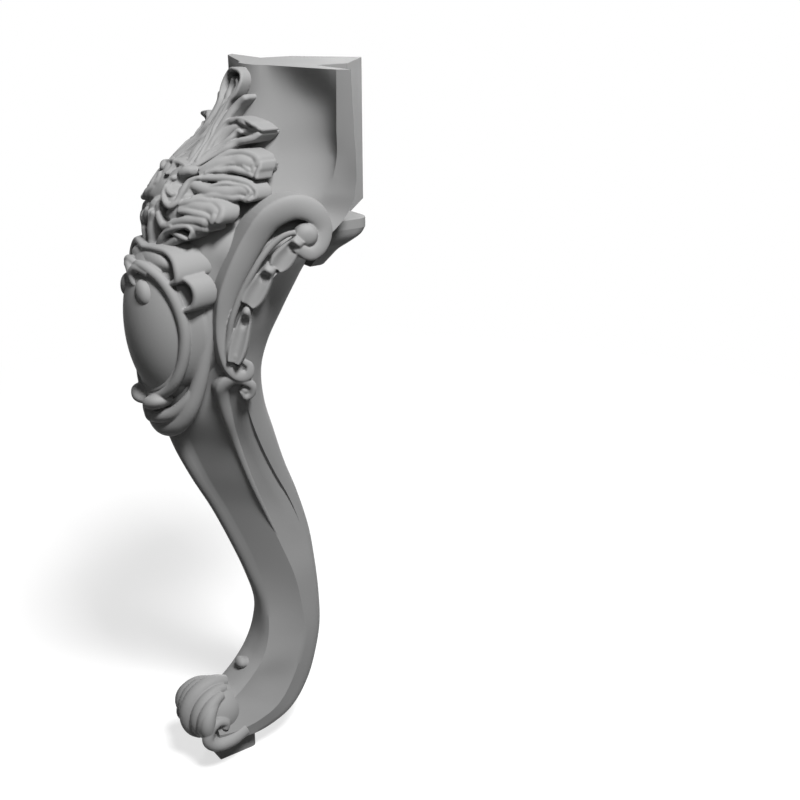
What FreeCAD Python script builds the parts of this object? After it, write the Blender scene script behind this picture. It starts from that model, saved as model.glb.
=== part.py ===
import FreeCAD, Part
import math
import os
from FreeCAD import Vector

# Carved cabriole table leg, one piece of hardwood.
# Frame: millimetres, +Z up, the knee faces -Y, symmetric about the YZ plane.
# Origin: on the top face, on the axis of the square post.
# Places are given as (x, depth, z). Depth is measured forwards from the flat backs of
# the two wings and z upwards from the floor, as on the carver's templates.
# Curved faces are carved as narrow flats, like a leg before its last scraping.

# Driving dimensions
HEIGHT = 720.0            # floor to the top of the post
BLANK = 70.0              # side of the square post, set with one corner to the back
POST_SIDE = 34.0          # straight flank of the post behind the wings
POST_HEIGHT = 135.0       # post above the ledge
LEDGE_HALF = 84.0         # half the width of the ledge that carries the rails
LEDGE_CORNER = 14.0
PAD_DEPTH = 98.5          # middle of the pad, forward of the wing backs
PAD_WIDTH = 30.0
PAD_LENGTH = 45.0
PAD_HEIGHT = 16.0
PAD_CORNER = 6.0
DOME_HALF_WIDTH = 42.0    # cabochon on the knee
DOME_HALF_HEIGHT = 80.0
EYE_RADIUS = 11.0         # button in the upper volute
BALL_RADIUS = 31.0        # ball of the foot, under its leaf

POST_HALF = BLANK / math.sqrt(2)
BACK_Y = -POST_SIDE       # backs of the wings, level with the front corner of the flanks
FLOOR = -HEIGHT
LEDGE_TOP = -POST_HEIGHT
RISE = HEIGHT / 720.0     # stretches the heights below, which suit a leg of 720
SUNK = 12.0               # how far carved pieces run on inside the body


def place(x, depth, z):
    """A point from its half width, its depth from the wing backs and its height."""
    return Vector(x, BACK_Y - depth, FLOOR + z * RISE)


def both(shape):
    """The shape and its twin on the other side of the leg."""
    return [shape, shape.mirror(Vector(0, 0, 0), Vector(1, 0, 0))]


def outline(points):
    return Part.Wire(Part.makePolygon(points + points[:1]))


def flats(a, b, c, d):
    """The four-cornered flat a, b, c, d, folded once if it is twisted."""
    square = (b - a).cross(c - a)
    if square.Length > 0 and abs((d - a).dot(square)) < 1e-6 * square.Length:
        return [Part.Face(outline([a, b, c, d]))]
    return [Part.Face(outline([a, b, c])), Part.Face(outline([a, c, d]))]


def carved(rings):
    """A solid of narrow flats between rings of equally many points."""
    faces = [Part.Face(outline(rings[0])), Part.Face(outline(rings[-1]))]
    for low, high in zip(rings, rings[1:]):
        for k in range(len(low)):
            n = (k + 1) % len(low)
            faces += flats(low[k], low[n], high[n], high[k])
    shell = Part.Shell(faces)
    shell.sewShape()
    solid = Part.Solid(shell)
    if solid.Volume < 0:
        solid.reverse()
    return solid


def bend(start, pull, end, steps):
    """Points of a curve from start to end, drawn towards pull; start is left out."""
    points = []
    for i in range(1, steps + 1):
        t = i / steps
        points.append([a * (1 - t) ** 2 + 2 * b * t * (1 - t) + c * t * t
                       for a, b, c in zip(start, pull, end)])
    return points


def smooth_rows(rows, steps):
    """Rows of numbers with more rows put between them on a smooth curve."""
    fine = []
    for i in range(len(rows) - 1):
        before = rows[max(i - 1, 0)]
        after = rows[min(i + 2, len(rows) - 1)]
        for k in range(steps):
            t = k / steps
            fine.append([
                0.5 * (2 * b + (c - a) * t + (2 * a - 5 * b + 4 * c - d) * t * t
                       + (3 * b - a - 3 * c + d) * t ** 3)
                for a, b, c, d in zip(before, rows[i], rows[i + 1], after)])
    return fine + [list(rows[-1])]


# The body is a row of slanting cuts across the leg, from the top of the wings to the
# scroll of the foot. Each row gives the height and depth of the cut at the front and its
# tilt, then how far from the centre and behind the front each carved line lies:
#   band   edge of the rounded front         hollow  point that draws in the side flute
#   ridge  front arris of the side           flank   rear arris of the side
#   heel   point that draws out the rounded back, and last the middle of the back
CUTS = [
    # z, depth, tilt,   band,      hollow,     ridge,       flank,       heel,      back
    (720, 45, 0,    24, 9,      61, 22.4,   97.5, 35.7, 106, 45,    60, 45,    45),
    (695, 50, 0,    31, 11.5,   64, 46,     97, 40.5,   107.5, 50,  60, 50,    50),
    (670, 60, 0,    37, 19,     72, 57,     97, 50,     109.5, 60,  60, 60,    60),
    (643, 75, 0,    44, 30,     82, 68.5,   97, 64.3,   112, 75,    60, 75,    75),
    (615, 96, 0,    46, 29,     76, 66,     93.5, 78,   110, 96,    60, 96,    96),
    (592, 116, 0,   44, 16,     66, 46,     86, 84,     104, 108,   60, 120,   118),
    (572, 130, 0,   45, 12,     60, 32,     80, 50,     98, 100,    60, 140,   137),
    (550, 138, 0,   45, 14,     52, 24,     57, 33,     94, 66,     52, 148,   146),
    (525, 144, 0,   44, 14,     48, 20,    50, 30,      85, 54,     46, 138,   143),
    (496, 147, 0,   43, 14,     47, 21,    48, 29,      77, 52,     44, 122,   126),
    (468, 149, 0,   41, 15,     46, 24,    48, 32,      69, 51,     42, 108,   108),
    (440, 150, 0,   34, 12,     38, 28,    53, 35,      65, 53,     40, 100,   99),
    (405, 150, 0,   18, 8,      26, 34,     48, 44,     55, 64,     36, 102,   102),
    (370, 141.5, 0, 11, 13,     15, 36.5,   39, 49.5,   45, 70.5,   32, 104.5, 102.5),
    (331, 125, 0,   10, 12,     12, 33.5,   34, 48.5,   35, 73.5,   28, 99.5,  97.5),
    (290, 104.5, 0, 9.5, 11,    9, 31.5,    29, 48.5,   28, 74.5,   22, 94.5,  92.5),
    (245, 85.5, 0,  10, 11,     9, 31.5,    29, 48.5,   26, 71.5,   20, 87.5,  86.5),
    (205, 70.5, 0,  11, 9,      11, 29.5,   31, 47.5,   28, 64.5,   20, 77.5,  76),
    (168, 60, 0,    14, 5,      14, 25,     31, 42,     28, 58,     20, 70,    68.5),
    (136, 60, 5,    18, 3,      18, 23,    31.5, 40,    28, 58,     20, 71,    69.5),
    (112, 69, 14,   20, 3,      20, 24,    32, 42,      28, 61,     20, 76,    74),
    (95, 84, 24,    20, 4,      22, 26,    32, 48,      28, 68,     20, 85,    83),
    (83, 98, 35,    20, 4,      24, 28,    32, 50,      29, 70,     20, 86,    84),
    (77, 110, 48,   20, 5,      26, 24,    32, 44,      29, 62,     20, 78,    76),
    (75, 121, 66,   20, 5,      26, 20,    32, 36,      30, 50,     20, 63,    61),
    (73, 130, 86,   18, 5,      26, 16,    31, 28,      29, 40,     19, 52,    51),
]
FLUTE_FLATS = 4
BACK_FLATS = 3
ROWS_BETWEEN = 2


def cut_ring(row):
    """The closed outline of one cut across the leg."""
    z, depth, tilt = row[0:3]
    band, hollow, ridge, flank, heel = [row[i:i + 2] for i in (3, 5, 7, 9, 11)]
    back = (0, row[13])
    slant = math.radians(tilt)
    nose = [band[0] * 0.6, band[1] * 0.25]
    side = [nose, band] + bend(band, hollow, ridge, FLUTE_FLATS)
    side += [flank] + bend(flank, heel, back, BACK_FLATS)

    def spot(x, behind):
        return place(x, depth - behind * math.cos(slant), z - behind * math.sin(slant) / RISE)

    right = [spot(x, behind) for x, behind in side]
    left = [spot(-x, behind) for x, behind in reversed(side[:-1])]
    return [spot(0, 0)] + right + left


def body():
    return carved([cut_ring(row) for row in smooth_rows(CUTS, ROWS_BETWEEN)])


def post():
    """Square post with one corner to the back, joined to the backs of the wings."""
    corners = [
        (-POST_HALF, SUNK), (POST_HALF, SUNK), (POST_HALF, -POST_SIDE),
        (0, -POST_SIDE - POST_HALF), (-POST_HALF, -POST_SIDE),
    ]
    face = Part.Face(outline([Vector(x, BACK_Y - depth, LEDGE_TOP) for x, depth in corners]))
    return face.extrude(Vector(0, 0, POST_HEIGHT))


def plate_ring(half_width, back, corner, below):
    """A plate behind the wings with rounded corners, so far below the ledge's top."""
    ring = [(half_width, SUNK), (half_width, back + corner)]
    ring += bend((half_width, back + corner), (half_width, back), (half_width - corner, back), 3)
    ring += [(-x, depth) for x, depth in reversed(ring)]
    return [Vector(x, BACK_Y - depth, LEDGE_TOP - below) for x, depth in ring]


def ledge():
    """Shoulder that carries the rails: a flat top, a square edge and an ogee below."""
    half = LEDGE_HALF
    back = -POST_SIDE
    corner = LEDGE_CORNER
    return carved([
        plate_ring(half, back, corner, 0),
        plate_ring(half, back, corner, 9),
        plate_ring(half - 2, back + 4, corner, 16),
        plate_ring(half - 7, back + 13, corner, 23),
        plate_ring(half - 15, back + 21, corner - 2, 30),
        plate_ring(half - 23, back + 25, corner - 4, 38),
        plate_ring(half - 34, back + 27, corner - 4, 48),
    ])


def turned_ring(centre, along, face, across, thick, corners):
    """A ring square to a path: face is the way its broad side looks."""
    side = along.cross(face).normalize()
    out = side.cross(along).normalize()
    ring = []
    for k in range(corners):
        a = 2 * math.pi * (k + 0.5) / corners
        ring.append(centre + side * (across * math.cos(a)) + out * (thick * math.sin(a)))
    return ring


def roll(path, face, steps=2, corners=8, thick=1.0):
    """A moulding that swells and tapers along its path of (x, depth, z, radius)."""
    rows = smooth_rows(path, steps)
    centres = [place(*row[0:3]) for row in rows]
    rings = []
    for i, centre in enumerate(centres):
        along = (centres[min(i + 1, len(rows) - 1)] - centres[max(i - 1, 0)]).normalize()
        radius = rows[i][3]
        rings.append(turned_ring(centre, along, Vector(*face), radius, radius * thick, corners))
    return carved(rings)


def strand(path, face, back, steps=1, corners=4):
    """A ridge along its path of (x, depth, z, radius), round on the side that looks along
    face. Its walls run straight back into the wood for the length given by back."""
    rows = smooth_rows(path, steps)
    spots = [place(*row[0:3]) for row in rows]
    out = Vector(*face).normalize()
    rings = []
    for i, spot in enumerate(spots):
        along = spots[min(i + 1, len(spots) - 1)] - spots[max(i - 1, 0)]
        side = along.cross(out).normalize() * rows[i][3]
        ring = []
        for k in range(corners + 1):
            a = math.pi * k / corners
            ring.append(spot + side * math.cos(a) + out * (rows[i][3] * math.sin(a)))
        rings.append(ring + [spot - side - out * back, spot + side - out * back])
    return carved(rings)


def boss(x, depth, z, face, along, long_half, wide_half, rise, corners=8):
    """A low cushion on the surface, looking along face."""
    out = Vector(*face).normalize()
    run = Vector(*along)
    run = (run - out * run.dot(out)).normalize()
    across = out.cross(run)
    rings = []
    for level, size in ((-SUNK, 0.8), (0, 1.0), (rise * 0.65, 0.85), (rise, 0.45)):
        centre = place(x, depth, z) + out * level
        rings.append([centre + run * (long_half * size * math.cos(2 * math.pi * k / corners))
                      + across * (wide_half * size * math.sin(2 * math.pi * k / corners))
                      for k in range(corners)])
    return carved(rings)


# C-scroll of the side: from the upper volute over the top and down to the lower volute
C_SCROLL = [
    (107, 57, 571, 4.5), (107, 45, 565, 6), (105, 33, 571, 7.5), (103, 28, 585, 8.5),
    (102, 36, 600, 10), (97, 52, 606, 11.5), (88, 71, 596, 12.5), (78, 87, 576, 12.5),
    (71, 98, 552, 12), (66, 106, 528, 10.5), (62, 111, 504, 9), (61, 112, 482, 7.5),
    (63, 108, 463, 6.5), (67, 101, 453, 5.5), (71, 92, 453, 4.5), (72, 89, 461, 3.6), (69, 95, 466, 3),
]
C_FACE = (0.85, -0.5, 0.1)

# Reversed volute below it, running down into the front arris of the side
REVERSED_SCROLL = [
    (38, 91, 375, 3), (48, 105, 402, 4.5), (53, 112, 428, 6.5), (58, 114, 441, 7),
    (64, 108, 449, 6), (69, 99, 448, 4.8), (71, 91, 441, 4), (70, 91, 433, 3.4), (68, 96, 430, 3),
]
HUSK_FACE = (0.80, -0.60, 0.10)
INNER_RIM = [
    (103, 58, 586, 2), (91, 75, 575, 2.5), (83, 92, 550, 2.5), (74, 105, 519, 2.5), (68, 111, 489, 2.5),
    (68, 109, 464, 2),
]
HUSKS = [
    # middle of each husk, the way it runs, half its length and half its width
    ((98, 62, 567), (-0.35, -0.55, -0.76), 19, 11),
    ((85, 84, 539), (-0.33, -0.42, -0.85), 23, 11),
    ((73, 99, 494), (-0.20, -0.20, -0.96), 30, 9),
]


def husk(middle, along, long_half, wide_half):
    """A lobe with a dished face and a raised rim."""
    lobe = boss(*middle, HUSK_FACE, along, long_half, wide_half, 9)
    x, depth, z = middle
    dish = boss(x + 6, depth + 5, z, HUSK_FACE, along, long_half * 0.55, wide_half * 0.5, 4)
    return lobe.cut(dish)


def side_scrolls():
    parts = [strand(C_SCROLL, C_FACE, 16, 2, 6), strand(REVERSED_SCROLL, C_FACE, 14, 2, 5)]
    parts.append(strand(INNER_RIM, HUSK_FACE, 14, 1, 3))
    parts.append(boss(103, 46, 581, (0.95, -0.3, 0), (0, 0, 1), EYE_RADIUS, EYE_RADIUS, 10, 12))
    return parts + [husk(*row) for row in HUSKS]


DOME_Z = 495.0
DOME_PLACE = 135.5


def egg(centre, half_width, half_height, levels, corners):
    """An upright egg of narrow flats."""
    rings = []
    for i in range(levels):
        a = math.pi * (i + 0.35) / (levels - 0.3)
        middle = centre + Vector(0, 0, -half_height * math.cos(a))
        rings.append([middle + Vector(math.cos(b), math.sin(b), 0) * (half_width * math.sin(a))
                      for b in (2 * math.pi * (k + 0.5) / corners for k in range(corners))])
    return carved(rings)


def dome():
    """The egg of the cabochon."""
    return egg(place(0, DOME_PLACE, DOME_Z), DOME_HALF_WIDTH, DOME_HALF_HEIGHT * RISE, 14, 28)


def oval_ring(half_width, low, high, depth_low, depth_mid, depth_high, corners=20):
    """An oval round the cabochon, leaning with the knee."""
    middle = (low + high) / 2
    reach = (high - low) / 2
    ring = []
    for k in range(corners):
        a = 2 * math.pi * k / corners
        rise = math.sin(a)
        end = depth_high if rise > 0 else depth_low
        depth = depth_mid + (end - depth_mid) * rise * rise
        ring.append(place(half_width * math.cos(a), depth, middle + reach * rise))
    return ring


def frame():
    half = DOME_HALF_WIDTH
    return carved([
        oval_ring(half + 14, 424, 556, 104, 104, 104),
        oval_ring(half + 12, 426, 562, 144, 130, 132),
        oval_ring(half + 5, 429, 562, 160, 141, 150),
        oval_ring(half + 2, 432, 560, 164, 147, 155),
        oval_ring(half - 4, 438, 556, 162, 149, 154),
        oval_ring(half - 8, 444, 550, 130, 130, 130),
    ])


# Bands that leave the folds, run down beside the frame and meet under the cabochon
OUTER_BAND = [
    (53, 110, 528, 3), (54, 117, 500, 5), (53, 121, 472, 6.5), (48, 129, 442, 8),
    (38, 139, 416, 9), (22, 147, 399, 9), (0, 150, 393, 9),
]
INNER_BAND = [
    (46, 130, 450, 3), (40, 140, 431, 5), (28, 150, 415, 6), (13, 157, 408, 6.5), (0, 159, 406, 6.5),
]


def whole_band(path):
    """The band of one side and its twin as a single roll through the centre."""
    other = [(-x, depth, z, radius) for x, depth, z, radius in reversed(path[:-1])]
    return roll(path + other, (0, -1, 0.3))


def knee_bands():
    parts = [whole_band(OUTER_BAND), whole_band(INNER_BAND)]
    parts += both(boss(14, 160, 424, (0.3, -1, 0.1), (0.8, 0, 0.6), 13, 7, 9))
    parts.append(boss(0, 158, 410, (0, -1, 0), (0, 0, 1), 12, 7, 10))
    return parts


# Folds of drapery at the head of the cabochon, seen on edge, with half their thickness
UPPER_FOLD = [
    (0, 156, 562, 3), (18, 152, 562, 3.4), (32, 147, 558, 4), (44, 146, 547, 4.6), (45, 147, 537, 3.6),
]
LOWER_FOLD = [(46, 142, 536, 3), (54, 140, 528, 4), (53, 141, 517, 4), (46, 145, 512, 3)]


def drapery():
    """Folds that run back into the knee, with a drop hanging on each side."""
    parts = both(strand(UPPER_FOLD, (0.19, -0.96, -0.2), 40))
    parts += both(strand(LOWER_FOLD, (-0.3, -0.9, -0.25), 26))
    parts.append(boss(0, 146, 555, (0, -1, 0.5), (1, 0, 0), 36, 12, 14))
    parts += both(boss(15, 164, 531, (0.3, -1, 0.1), (-0.25, 0, 1), 11, 7, 7))
    return parts


# Acanthus on the upper knee: bundles of strands, cut straight back along the chisel.
# Every strand is a path of (x, depth, z, radius).
CHISEL = (0.58, -0.81, 0)
LEAF_DEPTH = 44.0         # how far the strands run on into the knee
LEAVES = [
    # Spoon leaf: flank, rim and hollow
    [(18, 110, 639, 5), (15, 86, 660, 6), (20, 65, 682, 7), (24, 56, 700, 6), (14, 52, 713, 5),
     (0, 50, 714, 5)],
    [(12, 108, 643, 3), (10, 84, 666, 3), (15, 63, 695, 3), (12, 57, 710, 3), (0, 55, 714, 3)],
    [(0, 106, 639, 7), (0, 76, 662, 7), (0, 52, 690, 6)],
    # Hooked leaf
    [(20, 108, 641, 3.5), (16, 82, 662, 4), (23, 70, 675, 4), (47, 66, 670, 3.5), (57, 63, 669, 3)],
    [(26, 108, 640, 4), (29, 84, 656, 6), (42, 70, 665, 6), (56, 61, 667, 4)],
    # Round leaf
    [(31, 111, 637, 3), (38, 92, 648, 5), (52, 79, 651, 6), (66, 75, 646, 6), (71, 76, 638, 5)],
    [(32, 108, 636, 5), (46, 88, 643, 8), (62, 79, 640, 9)],
    [(36, 110, 635, 3), (50, 95, 639, 5), (66, 82, 635, 5), (72, 79, 632, 4)],
    # Nested leaf
    [(32, 119, 629, 3), (54, 100, 631, 4), (70, 87, 626, 4.5), (77, 84, 619, 3.5)],
    [(34, 115, 624, 6), (53, 101, 621, 9), (68, 90, 619, 7)],
    [(40, 122, 617, 4), (58, 104, 617, 5.5), (74, 90, 616, 3.5)],
    # Thumb leaf
    [(30, 133, 609, 4), (46, 122, 609, 6), (57, 109, 610, 7.5), (63, 108, 603, 7), (63, 115, 595, 5)],
    [(32, 130, 602, 5), (44, 121, 600, 8), (57, 113, 599, 8)],
    # Rolled leaf
    [(10, 146, 570, 5), (22, 142, 583, 5), (36, 136, 588, 5), (45, 132, 583, 4)],
    [(17, 141, 587, 5), (32, 133, 593, 6.5), (44, 125, 596, 7)],
    # Hanging leaf
    [(5, 144, 600, 4), (0, 145, 588, 5), (0, 146, 572, 5.5), (8, 144, 562, 5)],
    [(8, 144, 600, 3.5), (13, 144, 590, 4.5), (30, 140, 587, 4)],
    [(0, 144, 562, 5), (20, 140, 569, 6), (36, 136, 579, 5)],
    # Curls of the heart and what carries them
    [(39, 115, 631, 3.5), (30, 122, 627, 5), (29, 134, 613, 5), (21, 139, 607, 5), (16, 139, 615, 4)],
    [(0, 125, 632, 4), (2, 118, 637, 5), (16, 116, 637, 5)],
    [(5, 112, 630, 12), (4, 122, 612, 14), (10, 127, 602, 13)],
    [(0, 134, 596, 9), (0, 135, 580, 10), (0, 136, 566, 8)],
]


def acanthus():
    leaves = []
    for path in LEAVES:
        leaves += both(strand(path, CHISEL, LEAF_DEPTH))
    return leaves


BALL_DEPTH = 118.0
BALL_Z = 61.0


def rib(x, reach, stop, splay, radius):
    """A rib of the toe leaf, bent over the ball and leaning outwards in the middle."""
    path = []
    for i in range(6):
        t = i / 5
        a = math.radians(-55 + (stop + 55) * t)
        swell = radius * (0.6 + 0.4 * math.sin(math.pi * t))
        path.append((x + splay * math.sin(math.pi * t), BALL_DEPTH + reach * math.cos(a),
                     BALL_Z + reach * math.sin(a), swell))
    return roll(path, (1, 0, 0), 1, 6)


# Volute at each side of the foot
FOOT_SPIRAL = [
    (27, 98, 36, 8), (29, 116, 33, 8), (30, 134, 39, 7.5), (30.5, 144, 54, 7),
    (30, 138, 68, 6.5), (29, 125, 72, 6), (29, 114, 66, 5),
]


def foot():
    """Ball toe wrapped by a ribbed leaf, volutes at its sides and a bead on top."""
    ball = egg(place(0, BALL_DEPTH, BALL_Z), BALL_RADIUS, BALL_RADIUS, 8, 16)
    parts = [ball, rib(0, 31, 118, 0, 10)]
    for x, stop, splay in ((9, 108, 5), (17, 92, 8), (21, 72, 8)):
        parts += both(rib(x, 30 - x * 0.3, stop, splay, 8))
    parts.append(boss(0, 74, 96, (0, -0.6, 0.8), (1, 0, 0), 7, 7, 6))
    parts += both(roll(FOOT_SPIRAL, (1, 0, 0)))
    return parts


def pad():
    length = PAD_LENGTH / 2
    width = PAD_WIDTH / 2
    middle = place(0, PAD_DEPTH, 0)
    corner = middle - Vector(width, length, 0)
    block = Part.makeBox(PAD_WIDTH, PAD_LENGTH, PAD_HEIGHT + SUNK, corner)
    rear = [e for e in block.Edges
            if abs(e.CenterOfMass.y - middle.y - length) < 0.1 and abs(abs(e.CenterOfMass.x) - width) < 0.1]
    return block.makeFillet(PAD_CORNER, rear)


def leg():
    pieces = [post(), ledge(), pad(), dome(), frame()]
    for side_piece in side_scrolls():
        pieces += both(side_piece)
    pieces += knee_bands() + drapery() + acanthus() + foot()
    return body().fuse(pieces)


os.makedirs("parts", exist_ok=True)
shape = leg()
if len(shape.Solids) != 1:
    raise RuntimeError("the leg must be one solid, not %d" % len(shape.Solids))
shape = shape.Solids[0]
shape.exportStep("parts/carved_leg.step")
box = shape.BoundBox
print("leg %.1f x %.1f x %.1f mm, %.0f cm3, valid %s" % (
    box.XLength, box.YLength, box.ZLength, shape.Volume / 1000, shape.isValid()))
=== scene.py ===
# %% [markdown]
# # Carved cabriole table leg
#
# The leg is carved from one piece of hardwood and finished in matte grey paint.
# The CAD solid has its main forms as narrow flats. Here the same forms get their round
# surfaces, rolled edges, veins and undercuts, and stay inside the CAD solid's box.
#
# Sizes in the tables are millimetres: x is the half width, depth is measured forwards from
# the flat backs of the wings, and z is the height above the floor.

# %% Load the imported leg
import math
import bmesh
import bpy
import numpy as np
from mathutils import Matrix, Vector


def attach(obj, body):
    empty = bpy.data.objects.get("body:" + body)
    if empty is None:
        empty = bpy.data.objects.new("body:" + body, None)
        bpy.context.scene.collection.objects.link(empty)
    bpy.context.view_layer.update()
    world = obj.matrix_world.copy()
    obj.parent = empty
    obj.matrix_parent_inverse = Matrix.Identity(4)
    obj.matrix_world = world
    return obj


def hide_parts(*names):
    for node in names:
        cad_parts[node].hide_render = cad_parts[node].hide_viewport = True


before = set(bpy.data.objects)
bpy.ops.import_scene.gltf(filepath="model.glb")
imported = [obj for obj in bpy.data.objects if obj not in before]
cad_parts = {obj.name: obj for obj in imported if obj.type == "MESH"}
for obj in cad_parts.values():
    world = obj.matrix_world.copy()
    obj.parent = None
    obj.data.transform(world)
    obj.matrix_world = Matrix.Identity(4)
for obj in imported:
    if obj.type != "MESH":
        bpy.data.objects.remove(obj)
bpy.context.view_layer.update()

# %% [markdown]
# ## Measures and small tools
#
# `place` turns a table's numbers into a point in the CAD frame, in metres. `smooth_rows`
# puts rows between the rows of a table on a smooth curve. `fade` runs from 0 to 1 between
# two values. The camera's place and axes stand here too, because some carving is drawn as
# the camera sees it.

# %% Measures and small tools
HEIGHT = 720.0
POST_HALF = 70.0 / math.sqrt(2)
POST_FLANK = 34.0
POST_HEIGHT = 135.0
BACK_Y = -POST_FLANK
MM = 0.001

EYE = np.array((0.95978, -0.60464, 0.09122))
RIGHT = np.array((0.58927, 0.80794, 0.0))
UP = np.array((-0.28961, 0.21122, 0.93355))
FORWARD = np.array((-0.75425, 0.55011, -0.35845))
LENS = 52.1016
SENSOR = 36.0
FRAME_PIXELS = 800
print("The post is", round(2 * POST_HALF, 1), "mm from corner to corner, and the leg", HEIGHT, "mm high")


def place(x, depth, z):
    return Vector((x, BACK_Y - depth, z - HEIGHT)) * MM


def fade(value, start, end):
    return min(max((value - start) / (end - start), 0), 1)


def smooth_rows(rows, steps):
    fine = []
    for i in range(len(rows) - 1):
        a = np.array(rows[max(i - 1, 0)], float)
        b = np.array(rows[i], float)
        c = np.array(rows[i + 1], float)
        d = np.array(rows[min(i + 2, len(rows) - 1)], float)
        for k in range(steps):
            t = k / steps
            fine.append(0.5 * (2 * b + (c - a) * t + (2 * a - 5 * b + 4 * c - d) * t * t
                               + (3 * b - a - 3 * c + d) * t ** 3))
    fine.append(np.array(rows[-1], float))
    return fine


def bend(start, pull, end, steps):
    start, pull, end = (np.array(v, float) for v in (start, pull, end))
    return [start * (1 - t) ** 2 + 2 * pull * t * (1 - t) + end * t * t
            for t in (i / steps for i in range(1, steps + 1))]


def new_object(name, verts, faces):
    mesh = bpy.data.meshes.new(name)
    mesh.from_pydata([tuple(v) for v in verts], [], faces)
    mesh.update()
    piece = bpy.data.objects.new(name, mesh)
    bpy.context.collection.objects.link(piece)
    return piece


def tidy_mesh(piece, merge=1e-6):
    """Normals outwards and doubled points merged."""
    work = bmesh.new()
    work.from_mesh(piece.data)
    bmesh.ops.remove_doubles(work, verts=work.verts, dist=merge)
    bmesh.ops.recalc_face_normals(work, faces=work.faces)
    work.to_mesh(piece.data)
    work.free()
    piece.data.update()


def baked(piece):
    """The object with its modifiers worked into a plain mesh."""
    graph = bpy.context.evaluated_depsgraph_get()
    mesh = bpy.data.meshes.new_from_object(piece.evaluated_get(graph))
    plain = bpy.data.objects.new(piece.name, mesh)
    name = piece.name
    old = piece.data
    bpy.data.objects.remove(piece)
    if old.users == 0 and isinstance(old, bpy.types.Mesh):
        bpy.data.meshes.remove(old)
    plain.name = name
    mesh.name = name
    bpy.context.collection.objects.link(plain)
    return plain


def ring_solid(rings, flat_caps=False):
    """Points and faces of a closed solid through rings of equally many points."""
    count = len(rings[0])
    verts = [Vector(p) for ring in rings for p in ring]
    faces = []
    for i in range(len(rings) - 1):
        for k in range(count):
            a = i * count + k
            b = i * count + (k + 1) % count
            faces.append((a, b, b + count, a + count))
    last = (len(rings) - 1) * count
    if flat_caps:
        return verts, faces + [tuple(range(count)), tuple(range(last, last + count))]
    for ring, start in ((rings[0], 0), (rings[-1], last)):
        middle = sum((Vector(p) for p in ring), Vector()) / count
        verts.append(middle)
        hub = len(verts) - 1
        for k in range(count):
            faces.append((start + k, start + (k + 1) % count, hub))
    return verts, faces


# %% [markdown]
# ## Carving one region from many forms
#
# A region of the carving is a heap of closed forms. A fine voxel remesh melts them into one
# skin, as they are cut from one piece of wood, and a little smoothing takes off the steps.

# %% Melting forms into one skin
class Heap:
    """Closed forms that are carved from the same wood."""

    def __init__(self, name):
        self.name = name
        self.verts = []
        self.faces = []

    def add(self, verts, faces, twin=False):
        start = len(self.verts)
        self.verts += [Vector(v) for v in verts]
        self.faces += [tuple(start + i for i in face) for face in faces]
        if twin:
            self.add([Vector((-v[0], v[1], v[2])) for v in verts], [face[::-1] for face in faces])

    def add_rings(self, rings, twin=False):
        self.add(*ring_solid(rings), twin=twin)

    def skin(self, voxel, smooth, limit):
        """One object: voxel size in millimetres, rounds of smoothing, most triangles."""
        piece = new_object(self.name, self.verts, self.faces)
        melt = piece.modifiers.new("melt", "REMESH")
        melt.mode = "VOXEL"
        melt.voxel_size = voxel * MM
        soften = piece.modifiers.new("soften", "SMOOTH")
        soften.factor = 0.5
        soften.iterations = smooth
        piece = baked(piece)
        faces = sum(len(p.vertices) - 2 for p in piece.data.polygons)
        if faces > limit:
            thin = piece.modifiers.new("thin", "DECIMATE")
            thin.ratio = limit / faces
            piece = baked(piece)
        for polygon in piece.data.polygons:
            polygon.use_smooth = True
        print(self.name, "has", faces, "triangles, kept", len(piece.data.polygons))
        return piece


# %% [markdown]
# ## Mouldings that follow a path
#
# A geometry-node group sweeps a round section along a path and scales it by the radius that
# each point of the path carries. The rims, the bands of the knee, the toe ribs and the
# volutes of the foot are made with it.

# %% The sweep group
def sweep_group():
    group = bpy.data.node_groups.new("swept_moulding", "GeometryNodeTree")
    face = group.interface
    face.new_socket("Path", in_out="INPUT", socket_type="NodeSocketGeometry")
    corners = face.new_socket("Corners", in_out="INPUT", socket_type="NodeSocketInt")
    corners.default_value = 24
    finish = face.new_socket("Finish", in_out="INPUT", socket_type="NodeSocketMaterial")
    face.new_socket("Moulding", in_out="OUTPUT", socket_type="NodeSocketGeometry")
    nodes = group.nodes
    link = group.links.new
    enter = nodes.new("NodeGroupInput")
    leave = nodes.new("NodeGroupOutput")
    circle = nodes.new("GeometryNodeCurvePrimitiveCircle")
    circle.inputs["Radius"].default_value = 1.0
    sweep = nodes.new("GeometryNodeCurveToMesh")
    sweep.inputs["Fill Caps"].default_value = True
    realize = nodes.new("GeometryNodeRealizeInstances")
    paint = nodes.new("GeometryNodeSetMaterial")
    link(enter.outputs["Path"], sweep.inputs["Curve"])
    link(enter.outputs["Corners"], circle.inputs["Resolution"])
    link(circle.outputs["Curve"], sweep.inputs["Profile Curve"])
    if "Scale" in sweep.inputs:
        radius = nodes.new("GeometryNodeInputRadius")
        link(radius.outputs["Radius"], sweep.inputs["Scale"])
    link(sweep.outputs["Mesh"], realize.inputs["Geometry"])
    link(realize.outputs["Geometry"], paint.inputs["Geometry"])
    link(enter.outputs["Finish"], paint.inputs["Material"])
    link(paint.outputs["Geometry"], leave.inputs["Moulding"])
    return group, corners.identifier, finish.identifier


SWEEP, SWEEP_CORNERS, SWEEP_FINISH = sweep_group()
PAINT = bpy.data.materials.new("matte_grey_paint")
THINNEST = 0.3


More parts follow.
